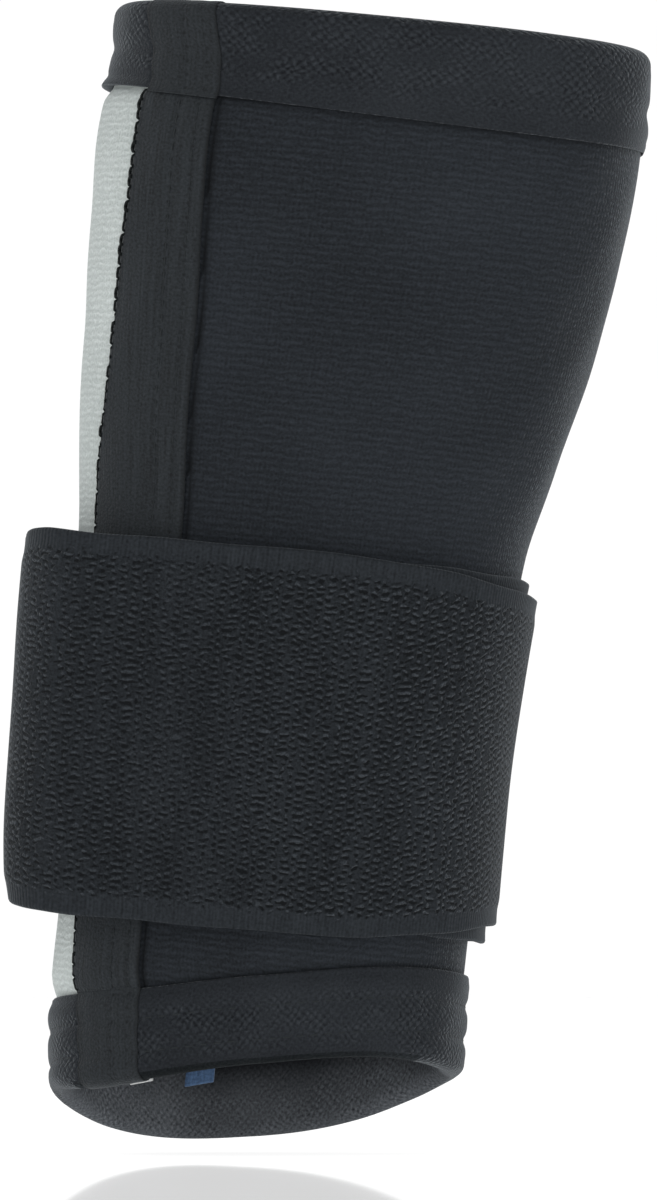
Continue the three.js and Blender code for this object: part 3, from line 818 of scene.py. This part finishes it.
def hem_tape(name, end, rim, edge, rows, replaced):
    """The same tape on a fold, from the free edge over the rim and a little way down inside."""
    middle = np.array([TAPE_MIDDLE])
    inward = hem_loops(end, middle, rim, edge, 0.0)[1][0]
    own = np.arange(len(inward) - 12)
    z = np.clip(rim(middle) - end * inward, -BOTTOM_DEPTH, TOP_HEIGHT)[own, None]
    left, right = tape_angle(z, 1, rows), tape_angle(z, 2, rows)
    angle = left + (right - left) * TAPE_ACROSS[None]

    def face_points(side):
        columns = []
        for column in range(angle.shape[1]):
            turn, proud = angle[:, column], 0.04 + side[:, column]
            near_out, near_in, _ = hem_loops(end, turn, rim, edge, 0.0)
            far_out, far_in, _ = hem_loops(end, turn, rim, edge, 1.0)
            near_in[0, 0] += 0.5
            out = mix(near_out[own, own], far_out[own, own], proud)
            columns.append(hem_points(end, turn, rim, out, mix(near_in[own, own], far_in[own, own], proud)))
        return np.stack(columns, 1)

    return tape_body(name, angle, left, right, None, HEM_TAPE_CLOTH, face_points, replaced)


tape_piece = seam_tape()
top_hem_strip = hem_tape("top_hem_tape_strip", 1, top_rim, top_edge, TOP_TAPE_ROWS, "top_hem_tape")
bottom_hem_strip = hem_tape("bottom_hem_tape_strip", -1, bottom_rim, bottom_edge, TAPE_ROWS,
                            "bottom_hem_tape")


def strap_column(column, angle):
    """Rise or width of the strap along its wind, easing from row to row."""
    index = np.clip(np.searchsorted(STRAP_ROWS[:, 0], angle) - 1, 0, len(STRAP_ROWS) - 2)
    low, high = STRAP_ROWS[index], STRAP_ROWS[index + 1]
    share = np.clip((angle - low[..., 0]) / (high[..., 0] - low[..., 0]), 0, 1)
    return STRAP_WIDTH * mix(low[..., column], high[..., column], smooth_step(0, 1, share))


# Degrees of the wind: where the second turn bulges, how far before a step the strap has climbed it, and how
# long it climbs
BULGE_FROM, BULGE_TO = 232.0, 338.0
AHEAD, TAPE_CLIMB, STRAP_CLIMB = 7.5, 12.0, 22.0


def strap_lift(angle, share):
    """How far the strap's inner face stands out at a share of its width.

    It climbs over the tape, its own first turn and the hook tab, bulges at the left on its second turn,
    flares at the lower right and curls in at the lower left.
    """
    ends = np.array([STRAP_WIDTH / 2, -STRAP_WIDTH / 2])
    first, last = tape_angle(ends, 1).min() - AHEAD, tape_angle(ends, 2).max() + AHEAD
    place = turned(angle)
    over_tape = (smooth_step(first - TAPE_CLIMB, first, place)
                 * (1 - smooth_step(last, last + TAPE_CLIMB, place)))
    start = STRAP_ROWS[0, 0] + 360 - AHEAD
    second = smooth_step(start - STRAP_CLIMB, start, angle)
    bulge = np.sin(np.pi * np.clip((angle - BULGE_FROM) / (BULGE_TO - BULGE_FROM), 0, 1)) ** 2
    bulge = mix(STRAP_BOTTOM_BULGE, STRAP_TOP_BULGE, share) * bulge
    hook = (HOOK_CLOTH + GAP) * smooth_step(HOOK_START - STRAP_CLIMB, HOOK_START - AHEAD, angle)
    flare = STRAP_FLARE * (1 - 0.3 * second) * lobe(angle, 90, 3) * (1 - share) ** 6
    curl = 1.6 * second * lobe(angle, 276, 10) * (1 - share) ** 14
    return GAP + (GAP + TAPE_CLOTH) * over_tape + (STRAP_CLOTH + GAP) * second + bulge + flare - curl + hook


def strap():
    """The band wound twice: a flat section with rounded, slightly thinner edges, carried along the wind."""
    angle = np.linspace(STRAP_ROWS[0, 0], STRAP_ROWS[-1, 0], 461)[:, None]
    edge = np.array([0, 0.0012, 0.004, 0.009, 0.016, 0.03, 0.05, 0.06, 0.07, 0.08])
    share = np.concatenate([edge, np.linspace(0.1, 0.9, 41), 1 - edge[::-1]])[None]
    width = strap_column(2, angle)
    from_edge = np.minimum(share, 1 - share) * width
    rounding = np.sqrt(np.clip(1 - (1 - np.clip(from_edge / 0.55, 0, 1)) ** 2, 0, 1))
    face = smooth_step(2.2, 5.0, from_edge)
    thick = STRAP_CLOTH - 0.3 * (1 - face)
    turn = np.radians(angle)
    sway = 0.22 * np.sin(turn * 3.1) + 0.12 * np.sin(turn * 11 + 1)
    z = strap_column(1, angle) + width * (share - 0.5) + sway * np.abs(2 * share - 1) ** 2
    lift = strap_lift(angle, share)
    outer = sleeve(angle, z, lift + 0.6 + (thick - 0.6) * rounding)
    inner = sleeve(angle, z, lift + 0.6 - 0.6 * rounding)
    loops = there_and_back(outer, inner)
    pattern = np.stack([around(angle) + 0 * z, share * width, 0 * z], -1)
    values = {"cloth": there_and_back(pattern), "face": there_and_back(face + 0 * z)}
    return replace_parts(sweep("strap_band", loops, values, False, [strap_loops]), "strap")


strap_piece = strap()


SEWN_LENGTH = 9


def label(name, place, width, cloth, shown, material, replaced):
    """A folded ribbon sewn inside the front: two layers down to a fold at the rim or a little below it."""
    half = HAND_WIDTH / 2 - WALL
    x = np.linspace(place - width / 2, place + width / 2, 9)[:, None]
    angle = -np.degrees(np.arcsin(np.clip(-x / half, 0, 1) ** (SQUARENESS / 2)))
    drop = np.linspace(SEWN_LENGTH, -shown, 20)
    turn = np.pi * np.array([1, 2, 3, 5, 6, 7]) / 8
    thick = cloth / 2
    out = np.concatenate([0 * drop + thick, thick * np.cos(turn), 0 * drop - thick])
    down = np.concatenate([drop, -shown - thick * np.sin(turn), drop[::-1]])
    base = -WALL - GAP - thick
    z = bottom_rim(angle) + down[None]
    loops = sleeve(angle, z, base + out[None] + 0 * z)
    pattern = np.stack([x + 0 * z, np.broadcast_to(down, z.shape), 0 * z], -1)
    values = {"cloth": pattern, "shade": 0 * z}
    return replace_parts(sweep(name, loops, values, False, [material]), replaced)


label("size_tab_ribbon", -9.6, 4.6, 0.8, 1.8, blue_ribbon, "size_tab")
label("care_label_ribbon", -19.3, 3.6, 0.4, -0.2, white_ribbon, "care_label")
hook_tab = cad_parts["hook_tab"]
hook_tab.data.materials.clear()
hook_tab.data.materials.append(hook_plastic())


def stitched(name, runs, radius, material):
    """Threads along runs of stitches: angles, heights and distances out, as grids with a row a stitch."""
    paths = [sleeve(angle, z, out) for angle, z, out in runs]
    turn = np.radians(np.concatenate([angle[:, angle.shape[1] // 2] for angle, z, out in runs]))
    outward = np.stack([np.sin(turn), -np.cos(turn), 0 * turn], -1)
    return threads(name, np.concatenate(paths), outward, radius, [material])


# Along one stitch, from its start over its middle to its end
ALONG_STITCH = np.linspace(-1, 1, 7)[None]


def tape_stitches():
    """Two columns of long stitches on the tape, each an arch that dives into the cloth at both ends."""
    runs = []
    for number, column in enumerate(STITCH_COLUMNS):
        middles = np.arange(bottom_edge(TAPE_MIDDLE) + 2 + number, top_edge(TAPE_MIDDLE) - 1, NEEDLE_STEP)
        z = middles[:, None] + 0.85 * ALONG_STITCH
        angle = angle_at(around(tape_angle(z, 2)) - column)
        runs.append((angle, z, GAP + TAPE_CLOTH - 0.3 + 0.2 * (1 - ALONG_STITCH ** 2) + 0 * z))
    return stitched("tape_stitches", runs, 0.13, black_thread)


def overlock():
    """Loops of thread over the tape's left edge, which turn over from the tape onto the grey knit."""
    step = 1.9
    middles = np.arange(bottom_edge(TAPE_MIDDLE) + 1, top_edge(TAPE_MIDDLE) - 0.6, step)
    middles = middles + 0.3 * np.sin(middles * 2.3)
    t = np.linspace(0, 1, 9)[None]
    z = middles[:, None] + step * (t - 0.5)
    uneven = 1 + 0.5 * np.sin(middles * 5.1) * np.sin(middles * 1.7)
    arch = np.sin(np.pi * t) ** 0.7
    angle = angle_at(around(tape_angle(z, 1)) + 0.5 - 1.05 * uneven[:, None] * arch)
    out = GAP + 0.1 + TAPE_CLOTH * (1 - arch) + 0 * z
    return stitched("overlock_loops", [(angle, z, out)], 0.38, edge_thread)


def hem_stitches():
    """Stitches along both valleys of the lower hem, all round but for the tape."""
    run = np.arange(0, around(0.0) - HAND_STEP, HAND_STEP)
    angle = angle_at(around(0.0) + run[:, None] + 0.9 * ALONG_STITCH)
    middle = turned(angle[:, 3])
    angle = angle[(middle < -60) | (middle > -27)]
    height = np.abs(bottom_rim(angle) - bottom_edge(angle))
    runs = []
    for place, _, _ in BOTTOM_VALLEYS:
        inward = height - place
        out = TOP_OUT + hem_bulge(-1, angle, inward, height) - 0.2 + 0.16 * (1 - ALONG_STITCH ** 2)
        runs.append((angle, bottom_rim(angle) + inward, out))
    return stitched("hem_stitches", runs, 0.15, black_thread)


def back_seam_stitches():
    """A zigzag of flat seam threads over the join of the two panels at the back."""
    middles = np.arange(bottom_edge(BACK_SEAM) + 1, top_edge(BACK_SEAM) - 1, 1.3)
    z = middles[:, None] + 0.55 * ALONG_STITCH
    angle = angle_at(around(BACK_SEAM) + 1.9 * ALONG_STITCH) + 0 * z
    out = 0.05 + 0.2 * (1 - ALONG_STITCH ** 4) + 0 * z
    return stitched("back_seam_threads", [(angle, z, out)], 0.2, black_thread)


def tail_stitches():
    """A rectangle of stitches on the strap's loose tail, where the hook tab is sewn on."""
    first, last = 531.0, 553.0
    grids = []
    for side in (first, last):
        z = np.arange(-18, 21, HAND_STEP)[:, None] + 0.9 * ALONG_STITCH
        grids.append((np.full_like(z, side), z))
    for height in (-19.5, 20.5):
        run = np.arange(around(first) + 1.3, around(last) - 1, HAND_STEP)
        angle = angle_at(run[:, None] + 0.9 * ALONG_STITCH)
        grids.append((angle, np.full_like(angle, height)))
    arch = STRAP_CLOTH - 0.12 + 0.24 * (1 - ALONG_STITCH ** 2)
    runs = [(angle, z, strap_lift(angle, 0.5 + 0 * z) + arch) for angle, z in grids]
    return stitched("tail_stitches", runs, 0.18, black_thread)


tape_threads = [tape_stitches(), overlock()]
fold_threads = hem_stitches()
seam_threads = back_seam_stitches()
tail_threads = tail_stitches()

# Camera, in metres: the photo's view from a little below the wrist, and the height of its frame at the object
CAMERA_PLACE, CAMERA_AIM = (0.0, -1.9997, -0.0349), (0.00563, 0.0, 0.0247)
CAMERA_DISTANCE, FRAME_HEIGHT, SENSOR = 2.0, 0.204, 36
LEAN = 6
LIGHT_AIM = (0.0, 0.0, 0.03)
FLOOR_HEIGHT, FLOOR_REACH = -0.0706, 6


def looking(place, aim, lean=0):
    """Matrix of a camera or light that looks from a place at its aim, rolled by the lean in degrees."""
    forward = np.subtract(aim, place)
    forward /= np.linalg.norm(forward)
    side = np.cross(forward, (0, 0, 1))
    side /= np.linalg.norm(side)
    up = np.cross(side, forward)
    turn = math.radians(lean)
    right, top = math.cos(turn) * side + math.sin(turn) * up, math.cos(turn) * up - math.sin(turn) * side
    matrix = np.eye(4)
    matrix[:3] = np.stack([right, top, -forward, place], 1)
    return Matrix(matrix.tolist())


def place_camera():
    """Camera two metres in front of the object and leaned, with the photo's height of frame."""
    data = bpy.data.cameras.new("camera")
    data.sensor_width = SENSOR
    data.lens = SENSOR * CAMERA_DISTANCE / FRAME_HEIGHT
    data.clip_start, data.clip_end = 0.1, 100
    camera = bpy.data.objects.new("camera", data)
    bpy.context.scene.collection.objects.link(camera)
    camera.matrix_world = looking(CAMERA_PLACE, CAMERA_AIM, LEAN)
    bpy.context.scene.camera = camera


def area_light(name, place, size, power):
    """A square soft light that looks at the object."""
    data = bpy.data.lights.new(name, "AREA")
    data.size = size
    data.energy = power
    light = bpy.data.objects.new(name, data)
    bpy.context.scene.collection.objects.link(light)
    light.matrix_world = looking(place, LIGHT_AIM)


def white_room():
    """World that looks pure white to the camera and in mirrors, and lights the object less."""
    world = bpy.data.worlds.new("white_room")
    bpy.context.scene.world = world
    world.use_nodes = True
    start = Value(world.node_tree)
    seen = start.make("ShaderNodeLightPath")
    mirrored = start.make("ShaderNodeLightPath", None, None, 3)
    strength = (seen + mirrored) * 0.72 + 0.3
    background = world.node_tree.nodes["Background"]
    background.inputs["Color"].default_value = colour(1, 1, 1)
    world.node_tree.links.new(strength.socket, background.inputs["Strength"])


def pale_floor():
    """Pale floor, level in the leaned frame, with a faint mirror image of the object."""
    slope = math.tan(math.radians(LEAN))
    mesh = bpy.data.meshes.new("floor")
    reach = FLOOR_REACH
    corners = [(x, y, FLOOR_HEIGHT + slope * x)
               for x, y in ((-reach, -reach), (reach, -reach), (reach, reach), (-reach, reach))]
    mesh.from_pydata(corners, [], [(0, 1, 2, 3)])
    floor = bpy.data.objects.new("floor", mesh)
    bpy.context.scene.collection.objects.link(floor)
    material = bpy.data.materials.new("pale_floor")
    material.use_nodes = True
    shader = material.node_tree.nodes["Principled BSDF"]
    shader.inputs["Base Color"].default_value = colour(0.8, 0.8, 0.8)
    shader.inputs["Roughness"].default_value = 0.9
    shader.inputs["Specular IOR Level"].default_value = 0.0
    shader.inputs["Emission Color"].default_value = colour(1, 1, 1)
    shader.inputs["Emission Strength"].default_value = 0.8
    start = Value(material.node_tree)
    mirror = start.make("ShaderNodeBsdfGlossy", None, {"Roughness": 0.03, "Color": colour(1, 1, 1)})
    plain = Value(material.node_tree, shader.outputs[0])
    look = start.make("ShaderNodeMixShader", None, {0: 0.46, 1: plain, 2: mirror})
    output = material.node_tree.nodes["Material Output"]
    material.node_tree.links.new(look.socket, output.inputs["Surface"])
    mesh.materials.append(material)


def studio():
    """White room and floor, with two small lights low in front and four large soft ones."""
    bpy.context.scene.view_settings.view_transform = "Standard"
    white_room()
    pale_floor()
    area_light("low_left", (-0.45, -1.4, -0.045), 0.1, 1.8)
    area_light("low_right", (0.3, -1.5, 0.015), 0.08, 2.6)
    area_light("key", (-0.9, -1.3, 0.9), 0.5, 3.3)
    area_light("fill", (1.3, -0.9, 0.4), 0.6, 3.0)
    area_light("rim_left", (-1.1, 0.7, 0.5), 0.6, 3.8)
    area_light("rim_right", (1.1, 0.8, 0.5), 0.6, 2.4)


place_camera()
studio()
